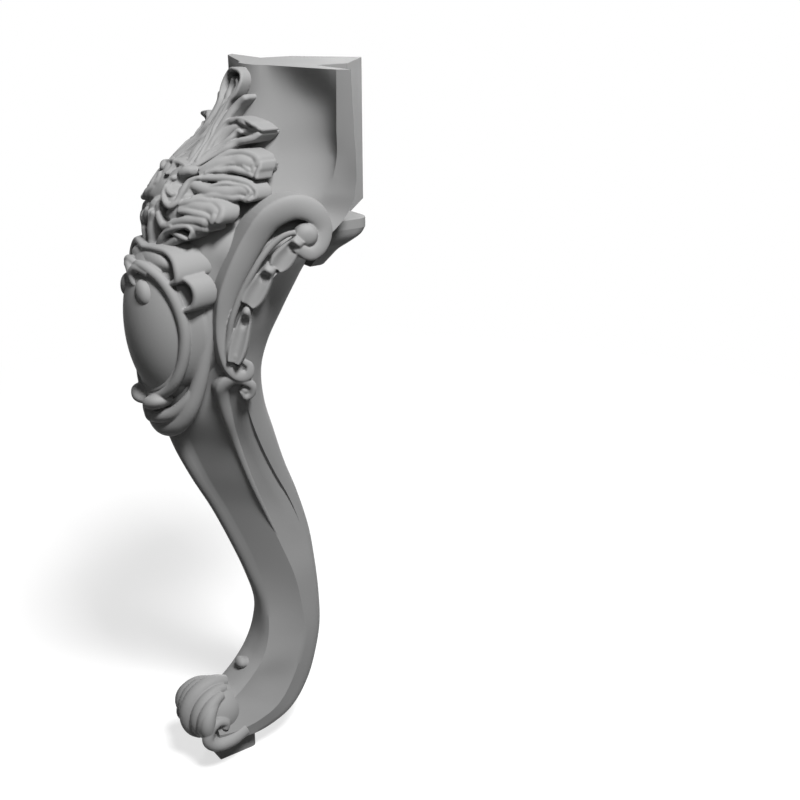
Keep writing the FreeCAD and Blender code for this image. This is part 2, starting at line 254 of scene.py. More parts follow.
def sweep(spots, radii, corners=24):
    """Points and faces of a round moulding through spots with the given radii, in metres."""
    curve = bpy.data.curves.new("path", "CURVE")
    curve.dimensions = "3D"
    spline = curve.splines.new("POLY")
    spline.points.add(len(spots) - 1)
    for point, spot, radius in zip(spline.points, spots, radii):
        point.co = (*spot, 1)
        point.radius = radius
    path = bpy.data.objects.new("path", curve)
    bpy.context.collection.objects.link(path)
    nodes = path.modifiers.new("sweep", "NODES")
    nodes.node_group = SWEEP
    nodes[SWEEP_CORNERS] = corners
    nodes[SWEEP_FINISH] = PAINT
    piece = baked(path)
    verts = [v.co.copy() for v in piece.data.vertices]
    faces = [tuple(p.vertices) for p in piece.data.polygons]
    mesh = piece.data
    bpy.data.objects.remove(piece)
    bpy.data.meshes.remove(mesh)
    bpy.data.curves.remove(curve)
    return verts, faces


def roll(rows, steps=6, corners=24):
    """A moulding through rows of (x, depth, z, radius) in millimetres."""
    fine = smooth_rows(rows, steps)
    spots = [place(*row[:3]) for row in fine]
    radii = [max(row[3], THINNEST) * MM for row in fine]
    return sweep(spots, radii, corners)


def whole(rows):
    """The path of one side joined with its mirror image through the middle."""
    return list(rows) + [(-r[0], *r[1:]) for r in reversed(rows[:-1])]


test_heights = [v.z for v in roll([(0, 0, 700, 5), (0, 40, 700, 10)])[0]]
print("A straight test moulding is", round(max(test_heights) - min(test_heights), 4), "m thick")

# %% [markdown]
# ## Cushions and walled ridges
#
# Forms that stand on the surface: a cushion is a raised oval, and a walled ridge is rounded
# in front, with sides that run straight back into the wood.

# %% Cushions and walled ridges
# How a ridge ends, in radii: how far past the last point, how deep, and how large
END_ROUNDING = ((0.45, 0.15, 0.85), (0.8, 0.6, 0.6), (0.95, 1.3, 0.3))


def cushion(centre, face, along, long_half, wide_half, rise, sunk=10, corners=36, levels=8):
    """Rings of a rounded oval cushion that looks along face."""
    out = Vector((face[0], -face[1], face[2])).normalized()
    run = Vector((along[0], -along[1], along[2]))
    run = (run - out * run.dot(out)).normalized()
    across = out.cross(run)
    middle = place(*centre)
    rings = []
    sizes = [(-sunk, 0.9)]
    for i in range(levels + 1):
        a = math.pi / 2 * i / levels * 0.97
        sizes.append((rise * math.sin(a), max(math.cos(a), 0.05) ** 0.8))
    for level, size in sizes:
        rings.append([
            middle + out * level * MM
            + run * (long_half * size * MM * math.cos(2 * math.pi * k / corners))
            + across * (wide_half * size * MM * math.sin(2 * math.pi * k / corners))
            for k in range(corners)])
    return rings


def walled(rows, face, steps=6, corners=12, base=20, swell=1.0):
    """Rings of a ridge through rows of (x, depth, z, radius): round on the side that looks
    along face, with walls that run straight back. Base is their length in millimetres, or
    a function of x and z. Swell flattens the round. The ends sink into the wood."""
    fine = smooth_rows(rows, steps)
    spots = [place(*row[:3]) for row in fine]
    inwards = -Vector((face[0], -face[1], face[2])).normalized()
    stations = []
    for i, spot in enumerate(spots):
        along = (spots[min(i + 1, len(spots) - 1)] - spots[max(i - 1, 0)]).normalized()
        radius = max(fine[i][3], THINNEST) * MM
        stations.append((spot, along, radius, (fine[i][0], fine[i][2])))

    def end(station, way):
        spot, along, radius, at = station
        return [(spot + along * (way * step * radius) + inwards * (drop * radius), along, radius * size, at)
                for step, drop, size in END_ROUNDING]

    stations = end(stations[0], -1)[::-1] + stations + end(stations[-1], 1)
    rings = []
    for spot, along, radius, at in stations:
        side = along.cross(inwards).normalized()
        length = (base(*at) if callable(base) else base) * MM
        ring = [spot + side * radius * math.cos(math.pi * k / corners)
                - inwards * radius * swell * math.sin(math.pi * k / corners)
                for k in range(corners + 1)]
        ring.append(spot - side * radius + inwards * length)
        ring.append(spot + side * radius + inwards * length)
        rings.append(ring)
    return rings


test_rings = cushion((0, 100, 500), (0, 1, 0), (0, 0, 1), 20, 10, 5)
print("A test cushion has", len(test_rings), "rings of", len(test_rings[0]), "points")

# %% [markdown]
# ## The body
#
# Slanting cuts across the leg, from the top of the wings to the foot. Each row gives the
# height, depth and tilt of a cut, then the carved lines on it: the edge of the front fillet,
# the pull of the side flute, the front and rear arrises, the heel and the back. A thin crease
# runs along the rear arris of the upper shaft.

# %% The body
CUTS = [
    (720, 45, 0, 24, 9, 61, 22.4, 97.5, 35.7, 106, 45, 60, 45, 45),
    (695, 50, 0, 31, 11.5, 64, 46, 97, 40.5, 107.5, 50, 60, 50, 50),
    (670, 60, 0, 37, 19, 72, 57, 97, 50, 109.5, 60, 60, 60, 60),
    (643, 75, 0, 44, 30, 82, 68.5, 97, 64.3, 112, 75, 60, 75, 75),
    (615, 96, 0, 46, 29, 76, 66, 93.5, 78, 110, 96, 60, 96, 96),
    (592, 116, 0, 44, 16, 66, 46, 86, 84, 104, 108, 60, 120, 118),
    (572, 130, 0, 45, 12, 60, 32, 80, 50, 98, 100, 60, 140, 137),
    (550, 138, 0, 45, 14, 52, 24, 57, 33, 94, 66, 52, 148, 146),
    (525, 144, 0, 44, 14, 48, 20, 50, 30, 85, 54, 46, 138, 143),
    (496, 147, 0, 43, 14, 47, 21, 48, 29, 77, 52, 44, 122, 126),
    (468, 149, 0, 41, 15, 46, 24, 48, 32, 69, 51, 42, 108, 108),
    (440, 150, 0, 34, 12, 38, 28, 53, 35, 65, 53, 40, 100, 99),
    (405, 150, 0, 18, 8, 32, 24, 48, 44, 55, 64, 36, 102, 102),
    (370, 141.5, 0, 11, 13, 26, 28, 39, 46.5, 45, 70.5, 32, 104.5, 102.5),
    (331, 125, 0, 10, 12, 23, 27, 34, 45, 35, 73.5, 28, 99.5, 97.5),
    (290, 104.5, 0, 9.5, 11, 20, 26, 29, 42, 28, 74.5, 22, 94.5, 92.5),
    (245, 85.5, 0, 10, 11, 20, 26, 29, 41, 26, 71.5, 20, 87.5, 86.5),
    (205, 70.5, 0, 11, 9, 21, 24, 31, 40, 28, 64.5, 20, 77.5, 76),
    (168, 60, 0, 14, 5, 23, 20, 31, 37, 28, 58, 20, 70, 68.5),
    (136, 60, 5, 18, 3, 25, 18, 31.5, 40, 28, 58, 20, 71, 69.5),
    (112, 69, 14, 20, 3, 26, 19, 32, 42, 28, 61, 20, 76, 74),
    (95, 84, 24, 20, 4, 22, 26, 32, 48, 28, 68, 20, 85, 83),
    (83, 98, 35, 20, 4, 24, 28, 32, 50, 29, 70, 20, 86, 84),
    (77, 110, 48, 20, 5, 26, 24, 32, 44, 29, 62, 20, 78, 76),
    (75, 121, 66, 20, 5, 26, 20, 32, 36, 30, 50, 20, 63, 61),
    (73, 130, 86, 18, 5, 26, 16, 31, 28, 29, 40, 19, 52, 51),
]
ROWS_BETWEEN = 12
FRONT_STEPS = 6
FRONT_CURVE = 2.7
FLUTE_STEPS = 14
BACK_STEPS = 14
SHARP_ANGLE = 28
CREASE = 2.4
CREASE_LOW = (260, 310)
CREASE_HIGH = (440, 380)


def body_ring(row):
    z, depth, tilt = row[:3]
    band, hollow, ridge, flank, heel = [row[i:i + 2] for i in (3, 5, 7, 9, 11)]
    back = (0, row[13])
    slant = math.radians(tilt)
    side = [np.array((band[0] * t, band[1] * t ** FRONT_CURVE))
            for t in (k / FRONT_STEPS for k in range(1, FRONT_STEPS))]
    side += [np.array(band)] + bend(band, hollow, ridge, FLUTE_STEPS)
    side += [np.array(ridge) * (1 - t) + np.array(flank) * t for t in (0.25, 0.5, 0.75)]
    crease = CREASE * fade(z, *CREASE_HIGH) * fade(z, *CREASE_LOW)
    side += [np.array(flank) - (crease, 0.8 * crease), np.array(flank)]
    side += bend(flank, heel, back, BACK_STEPS)

    def spot(x, behind):
        return place(x, depth - behind * math.cos(slant), z - behind * math.sin(slant))

    right = [spot(x, behind) for x, behind in side]
    left = [spot(-x, behind) for x, behind in reversed(side[:-1])]
    return [spot(0, 0)] + right + left


rings = [body_ring(row) for row in smooth_rows(CUTS, ROWS_BETWEEN)]
body = new_object("leg_body", *ring_solid(rings, flat_caps=True))
tidy_mesh(body)
for polygon in body.data.polygons:
    polygon.use_smooth = True
body.data.set_sharp_from_angle(angle=math.radians(SHARP_ANGLE))
print("The body has", len(body.data.polygons), "faces")

# %% [markdown]
# ## Post, ledge and pad
#
# These are plain joiner's work: flat faces with edges that are only eased.

# %% Post, ledge and pad
EASED_EDGE = 0.5
LEDGE_EDGE = 0.6


def eased(piece, width, parts=3):
    edge = piece.modifiers.new("ease", "BEVEL")
    edge.width = width * MM
    edge.segments = parts
    edge.limit_method = "ANGLE"
    edge.angle_limit = math.radians(40)
    edge.harden_normals = False
    return baked(piece)


def plate(points, top, bottom):
    return [[Vector((x * MM, (BACK_Y - depth) * MM, z * MM)) for x, depth in points]
            for z in (top, bottom)]


# The post reaches a little into the body and the ledge, and its top lies a hair below the wings' top
POST_IN_BODY = 5
POST_IN_LEDGE = 2
TOP_GAP = 0.03
corners = [(-POST_HALF, POST_IN_BODY), (POST_HALF, POST_IN_BODY), (POST_HALF, -POST_FLANK),
           (0, -POST_FLANK - POST_HALF), (-POST_HALF, -POST_FLANK)]
post_rings = plate(corners, -TOP_GAP, -POST_HEIGHT - POST_IN_LEDGE)
post = new_object("leg_post", *ring_solid(post_rings, flat_caps=True))
tidy_mesh(post)
post = eased(post, EASED_EDGE)


def ledge_ring(half_width, back, corner, below):
    """The ledge's outline at some distance below the post: straight sides, round rear corners."""
    ring = [(half_width, LEDGE_IN_BODY), (half_width, back + corner)]
    rounded = bend((half_width, back + corner), (half_width, back), (half_width - corner, back), 10)
    ring += [tuple(p) for p in rounded]
    ring += [(-x, depth) for x, depth in reversed(ring)]
    return [Vector((x, BACK_Y - depth, -POST_HEIGHT - below)) * MM for x, depth in ring]


LEDGE_IN_BODY = 12
# Half width, depth of the back, rounding of the rear corners, distance below the post
LEDGE = [(84, -34, 14, 0), (84, -34, 14, 9), (82, -30, 14, 16), (77, -21, 14, 23),
         (69, -13, 12, 30), (61, -9, 10, 38), (50, -7, 10, 48)]
profile = [LEDGE[0]] + [tuple(row) for row in smooth_rows(LEDGE[1:], 4)]
ledge = new_object("leg_ledge", *ring_solid([ledge_ring(*row) for row in profile]))
tidy_mesh(ledge)
ledge = eased(ledge, LEDGE_EDGE)

PAD_MIDDLE = place(0, 98.5, 0)
PAD_HALF_WIDTH = 15
PAD_HALF_LENGTH = 22.5
PAD_TOP = 26
# Way of each corner from the middle, its rounding, and the angle at which its arc starts
PAD_CORNERS = ((1, -1, 1.0, -90), (1, 1, 6.0, 0), (-1, 1, 6.0, 90), (-1, -1, 1.0, 180))
outline = []
for across, along, rounding, start in PAD_CORNERS:
    inner = Vector((across * (PAD_HALF_WIDTH - rounding), along * (PAD_HALF_LENGTH - rounding), 0))
    centre = PAD_MIDDLE + inner * MM
    for k in range(7):
        a = math.radians(start + 15 * k)
        outline.append(centre + Vector((math.cos(a), math.sin(a), 0)) * rounding * MM)
pad_rings = [[p + Vector((0, 0, z * MM)) for p in outline] for z in (0, PAD_TOP)]
pad = new_object("leg_pad", *ring_solid(pad_rings))
tidy_mesh(pad)
pad = eased(pad, EASED_EDGE)
print("Post, ledge and pad have", [len(piece.data.polygons) for piece in (post, ledge, pad)], "faces")

# %% [markdown]
# ## Cabochon and its frame
#
# The cabochon is the front of an egg. Its frame is a stack of upright ovals, from the wood
# over the lip to the inside.

# %% The cabochon and its frame
DOME_CENTRE = place(0, 135.5, 495)
# Half width, half depth and half height
DOME_HALF = (46, 41.4, 80)


def ball_rings(centre, half, levels, corners):
    """Rings of an egg with the given half width, half depth and half height."""
    rings = []
    turns = [2 * math.pi * k / corners for k in range(corners)]
    for i in range(1, levels):
        a = math.pi * i / levels
        wide = math.sin(a)
        rings.append([centre + Vector((half[0] * wide * math.cos(b), half[1] * wide * math.sin(b),
                                       -half[2] * math.cos(a))) * MM for b in turns])
    return rings


rings = ball_rings(DOME_CENTRE, DOME_HALF, 96, 128)
dome = new_object("cabochon", *ring_solid(rings))
tidy_mesh(dome)
for polygon in dome.data.polygons:
    polygon.use_smooth = True


def oval_ring(half_width, low, high, depth_low, depth_mid, depth_high, corners=128):
    """An upright oval whose depth changes from its foot over its middle to its head."""
    middle = (low + high) / 2
    reach = (high - low) / 2
    ring = []
    for k in range(corners):
        a = 2 * math.pi * k / corners
        rise = math.sin(a)
        end = depth_high if rise > 0 else depth_low
        depth = depth_mid + (end - depth_mid) * rise * rise
        ring.append(place(half_width * math.cos(a), depth, middle + reach * rise))
    return ring


knee = Heap("knee_carving")
# Half width, foot and head, then the depth at the foot, the middle and the head
FRAME = [(57, 424, 556, 104, 104, 104), (56, 426, 562, 144, 128, 132), (51, 429, 562, 160, 139, 150),
         (48, 432, 560, 164, 145, 155), (42, 438, 556, 162, 148, 154), (34, 444, 550, 130, 130, 130)]
knee.add_rings([oval_ring(*row) for row in FRAME])
print("The cabochon has", len(dome.data.polygons), "faces, its frame", len(knee.faces))

# %% [markdown]
# ## Bands, buds and drapery of the knee
#
# Rows of a band or rim are (x, depth, z, radius). A cushion is given by its centre, the way
# it looks, the way it runs, its half length and half width, and its rise.

# %% Bands, buds and drapery
OUTER_BAND = [(51, 119, 534, 3.6), (51, 122, 502, 5.4), (49, 126, 472, 6.4), (44, 132, 442, 7.5),
              (36, 140, 416, 8.5), (22, 147, 399, 9), (0, 150, 393, 9)]
INNER_BAND = [(46, 130, 450, 3), (40, 140, 431, 5), (28, 150, 415, 6), (13, 157, 408, 6.5),
              (0, 159, 406, 6.5)]
BUD = ((14, 161, 424), (0.3, 1, 0.1), (0.9, 0, 0.3), 14, 7.5, 12)
MIDDLE_BUD = ((0, 158, 410), (0, 1, 0), (0, 0, 1), 12, 7, 10)
RIM = [(0, 164, 552, 3.4), (10, 165, 554, 4.4), (22, 161, 551, 5), (34, 154, 541, 5.4),
       (43, 147, 521, 5.6), (47, 143.5, 496, 5.6), (45, 146, 470, 5.2), (37, 152, 447, 4.8),
       (21, 158, 432, 4.4), (0, 160, 427, 4.2)]
RIM_END = [(22, 162, 548, 4.4), (9, 167, 551, 4.4), (1, 169, 545, 4.2), (4, 169, 537, 3.6),
           (9, 167, 535, 2.8)]
CLOTH_ROLL = ((0, 146, 555), (0, 1, 0.5), (1, 0, 0), 36, 12, 14)
DROP = ((17, 164, 530), (0.3, 1, 0.1), (-0.45, 0, 1), 13, 9, 9)
knee.add(*roll(whole(OUTER_BAND)))
knee.add(*roll(whole(INNER_BAND)))
knee.add_rings(cushion(*BUD), twin=True)
knee.add_rings(cushion(*MIDDLE_BUD))
knee.add(*roll(whole(RIM)))
knee.add(*roll(RIM_END), twin=True)


def ribbon(rows, back, length):
    """Rings of a strip of cloth seen on edge, through rows of (x, depth, z, half thickness), that
    runs back for some length."""
    fine = smooth_rows(rows, 6)
    spots = [place(*row[:3]) for row in fine]
    inwards = Vector((back[0], -back[1], back[2])).normalized()
    rings = []
    for i, spot in enumerate(spots):
        along = spots[min(i + 1, len(spots) - 1)] - spots[max(i - 1, 0)]
        side = along.cross(inwards).normalized()
        thick = fine[i][3] * MM
        ring = [spot + side * thick * math.cos(a) - inwards * thick * math.sin(a)
                for a in (math.pi * k / 8 for k in range(9))]
        ring.append(spot - side * thick + inwards * length * MM)
        ring.append(spot + side * thick + inwards * length * MM)
        rings.append(ring)
    return rings


UPPER_FOLD = [(0, 156, 567, 2.5), (18, 152, 568, 2.8), (30, 148, 567, 3), (40, 146, 562, 3.4),
              (46, 146, 553, 3.8), (47, 147, 545, 3.4), (41, 150, 541, 2.2)]
LOWER_FOLD = [(49, 142, 546, 2.5), (57, 138, 541, 3), (60, 136, 532, 3.6), (58, 138, 522, 3.4),
              (50, 143, 517, 2.2)]
UPPER_DEEP = 36
LOWER_DEEP = 19
knee.add_rings(ribbon(UPPER_FOLD, (0.0, -1, 0.12), UPPER_DEEP), twin=True)
knee.add_rings(ribbon(LOWER_FOLD, (0.0, -1, 0.1), LOWER_DEEP), twin=True)
knee.add_rings(cushion(*CLOTH_ROLL))
knee.add_rings(cushion(*DROP), twin=True)
knee = knee.skin(voxel=0.8, smooth=2, limit=190000)

# %% [markdown]
# ## Carving drawn as the camera sees it
#
# The leaves and the inner rim were drawn over enlarged parts of the photograph. A
# drawing has the corner of its part in the photograph, in pixels, its enlargement, and the
# step in metres with which a line of sight is searched. `laid` follows the line of sight
# through a drawn point until it meets the ground that the carving stands on, and gives that
# place in whole millimetres.

# %% Laying a drawn point on its ground
NEAREST = 0.9
FARTHEST = 1.5
WHOLE_VIEW = ((0, 0), 1, 0.0005)


def laid(point, drawing, clearance):
    """The first place on the line of sight, stepped from near to far, where clearance is used up."""
    corner, enlargement, step = drawing
    focal = LENS / SENSOR * FRAME_PIXELS
    across = (corner[0] + point[0] / enlargement - FRAME_PIXELS / 2) / focal
    down = (corner[1] + point[1] / enlargement - FRAME_PIXELS / 2) / focal
    sight = FORWARD + RIGHT * across - UP * down
    sight = sight / np.linalg.norm(sight)
    spots = (EYE + np.outer(np.arange(NEAREST, FARTHEST, step), sight)) / MM
    x, depth, z = spots[:, 0], BACK_Y - spots[:, 1], spots[:, 2] + HEIGHT
    clear = clearance(x, depth, z)
    first = int(np.argmax((clear[1:] <= 0) & (clear[:-1] > 0))) + 1
    return round(x[first]), round(depth[first]), round(z[first])


print("The middle of the view meets the leg's middle plane at",
      laid((400, 400), WHOLE_VIEW, lambda x, depth, z: x), "mm")

# %% [markdown]
# ## Side scrolls and husks
#
# The C-scrolls look sideways, with a flattened face and straight walls. The husks hang inside
# them on a slanting field, whose middle line is given by height.

# %% Side scrolls and husks
C_SCROLL = [(105, 57, 571, 4.5), (105, 45, 565, 6), (103, 33, 571, 7.5), (101, 28, 585, 8.5),
            (99, 36, 600, 10), (94, 53, 606, 11), (86, 73, 597, 11.5), (78, 87, 576, 11),
            (72, 99, 552, 10.5), (67, 108, 528, 9.5), (64, 112, 504, 8.5), (64, 113, 482, 7.5),
            (66, 110, 463, 6.5), (70, 103, 453, 5.5), (73, 95, 453, 4.5), (73, 93, 461, 3.6),
            (71, 98, 466, 2.6)]
REVERSED_SCROLL = [(27, 42, 243, 1.2), (30, 60, 285, 1.8), (34.5, 78, 328, 2.6), (40, 94, 372, 3.6),
                   (48, 105, 402, 4.8), (53, 112, 428, 6.5), (58, 114, 441, 7), (64, 108, 449, 6),
                   (69, 99, 448, 4.8), (71, 91, 441, 4), (70, 91, 433, 3.4), (68, 96, 430, 3),
                   (67, 99, 435, 2.6)]
HUSKS = [
    # middle of each husk, the way it runs down, half its length and half its width
    ((97, 63, 567), (-0.35, 0.55, -0.76), 17, 10),
    ((84, 85, 539), (-0.33, 0.42, -0.85), 21, 10),
    ((73, 100, 494), (-0.20, 0.20, -0.96), 28, 8.5),
]
HUSK_ROOT = 14
# Height of a hump on the husk, its place between head and tip, and its spread
HUSK_BULB = (4.5, 0.12, 0.09)
HUSK_HOLE = (5.5, 0.30, 0.07)
HUSK_DISH = 3.2
HUSK_WIDEST = 0.75
FIELD_Z = (455, 476, 494, 516, 539, 555, 567, 585)
FIELD_X = (66, 69, 73, 79, 85, 91, 98, 106)
FIELD_DEPTH = (104, 102, 99, 92, 84, 74, 62, 46)
RIM_DRAWING = ((105, 215), 4.1667, 0.0004)
RIM_LIFT = 6
RIM_THICKER = 0.9
# Points across and down the drawing, and the radius in millimetres
RIM_DRAWN = [(795, 72, 1.6), (750, 88, 1.8), (700, 125, 2), (655, 178, 2), (612, 245, 2),
             (575, 315, 2), (548, 385, 2), (528, 450, 2), (515, 520, 2), (513, 580, 1.8),
             (530, 625, 1.6)]
C_FACE = (1, 0.1, 0.05)
UPPER_EYE = ((100, 46, 581), (0.95, 0.3, 0), (0, 0, 1), 10.5, 10.5, 8)
LOWER_EYES = [((66, 97, 461), C_FACE, (0, 0, 1), 4.4, 4.4, 4),
              ((66, 96, 437), C_FACE, (0, 0, 1), 4.4, 4.4, 4)]
HUSK_FACE = (0.80, 0.60, 0.10)
LAST_BEAD = ((70.5, 106, 473), HUSK_FACE, (0, 0, 1), 5, 4.5, 4)
SLOPE = np.array(HUSK_FACE) / np.linalg.norm(HUSK_FACE)


def over_field(lift):
    """How far a place is from the husks' field, once that is raised by lift."""
    return lambda x, depth, z: (SLOPE[0] * (x - np.interp(z, FIELD_Z, FIELD_X))
                                + SLOPE[1] * (depth - np.interp(z, FIELD_Z, FIELD_DEPTH)) - lift)


INNER_RIM = [(*laid((u, v), RIM_DRAWING, over_field(RIM_LIFT - radius)), radius + RIM_THICKER)
             for u, v, radius in RIM_DRAWN]
scroll = Heap("side_scrolls")
scroll.add_rings(walled(C_SCROLL, C_FACE, base=24, corners=16, swell=0.42), twin=True)
scroll.add_rings(walled(REVERSED_SCROLL, C_FACE, base=16, corners=16, swell=0.7), twin=True)
scroll.add(*roll(INNER_RIM), twin=True)
for eye in [UPPER_EYE] + LOWER_EYES:
    scroll.add_rings(cushion(*eye), twin=True)


def hump(t, height, middle, spread):
    return height * math.exp(-((t - middle) / spread) ** 2)


def husk(middle, run, long_half, wide_half, steps=40, half_corners=12):
    """Rings of a dished lobe: a bulb and a hollow at its head, then a trough between two rims
    that ends in a lip over the next husk. t runs from 0 at its head to 1 at its tip, and u
    from -1 to 1 across it."""
    middle = np.array(middle, float)
    run = np.array(run) - SLOPE * np.dot(SLOPE, run)
    run /= np.linalg.norm(run)
    across = np.cross(SLOPE, run)
    rings = []
    for i in range(steps + 1):
        t = i / steps
        spine = middle + run * long_half * (2 * t - 1)
        wide = wide_half * (0.55 + 0.45 * math.sin(math.pi * min(t / HUSK_WIDEST, 1) / 2) ** 1.5)
        if t > HUSK_WIDEST:
            wide *= 1 - 0.3 * ((t - HUSK_WIDEST) / (1 - HUSK_WIDEST)) ** 2
        bulb = hump(t, *HUSK_BULB)
        hole = hump(t, *HUSK_HOLE)
        dish = HUSK_DISH * fade(t, 0.2, 0.4)
        ring = []
        for k in range(-half_corners, half_corners + 1):
            u = k / half_corners
            rounding = (1 - abs(u) ** 5) ** 0.5
            inner = max(1 - (u / 0.72) ** 2, 0)
            lift = 0.5 + 2.5 * t + 3.5 * rounding + bulb * (1 - u * u) - (hole + dish) * inner ** 1.3
            ring.append(place(*(spine + across * wide * u + SLOPE * lift)))
        for way in (1, -1):
            ring.append(place(*(spine + across * wide * way - SLOPE * HUSK_ROOT)))
        rings.append(ring)
    return rings


for row in HUSKS:
    scroll.add_rings(husk(*row), twin=True)
scroll.add_rings(cushion(*LAST_BEAD), twin=True)
scrolls = scroll.skin(voxel=0.7, smooth=4, limit=195000)

# %% [markdown]
# ## Acanthus of the upper knee
#
# Each leaf is a bundle of strands. A strand is round in front, and its walls run straight
# back into the wood. The ground under the leaves is given by height: the depth of its middle
# line, and how far it falls off at 70 mm to the side. Higher up, a steeper fall is mixed in.

# %% The ground under the leaves
GROUND_Z = (540, 564, 580, 595, 612, 625, 636, 650, 669, 690, 716, 740)
GROUND_DEPTH = (148, 151, 151, 149, 144, 134, 122, 104, 84, 68, 56, 48)
GROUND_FALL = (34, 34, 34, 36, 44, 42, 38, 32, 26, 18, 10, 8)
STEEP_Z = (640, 669, 716)
STEEP_FALL = (24, 21, 11)
STEEP_SHARE = 0.3
STEEP_FROM = 636
STEEP_FULL = 658
PUSH = 9


def ground_depth(x, z):
    """How deep the ground is, a number or an array of them."""
    share = STEEP_SHARE * np.clip((z - STEEP_FROM) / (STEEP_FULL - STEEP_FROM), 0, 1)
    even = np.interp(z, GROUND_Z, GROUND_FALL) * (x / 70) ** 2
    steep = np.interp(z, STEEP_Z, STEEP_FALL) * (1 - np.exp(-abs(x) / 20))
    return np.interp(z, GROUND_Z, GROUND_DEPTH) - (1 - share) * even - share * steep


def over_ground(lift):
    """How far a place is in front of the ground, once that is raised by lift."""
    return lambda x, depth, z: depth - (ground_depth(x, z) + lift)


def pressed_back(x, depth, z):
    """The outer strands go back along the middle line of sight by up to PUSH millimetres, so
    that their mirror images stand less far out on the other side."""
    if x > 20 and 600 < z < 672:
        push = PUSH * fade(x, 20, 70) * fade(z, 600, 615) * fade(z, 690, 670)
        x, depth, z = x + FORWARD[0] * push, depth - FORWARD[1] * push, z + FORWARD[2] * push
    return round(x), round(depth), round(z)


print("The ground is", round(float(ground_depth(0, 650))), "mm deep at its middle, 650 mm up")

# %% [markdown]
# Each strand has its lift over the ground in millimetres, then points across and down the
# drawing with the strand's radius in millimetres.

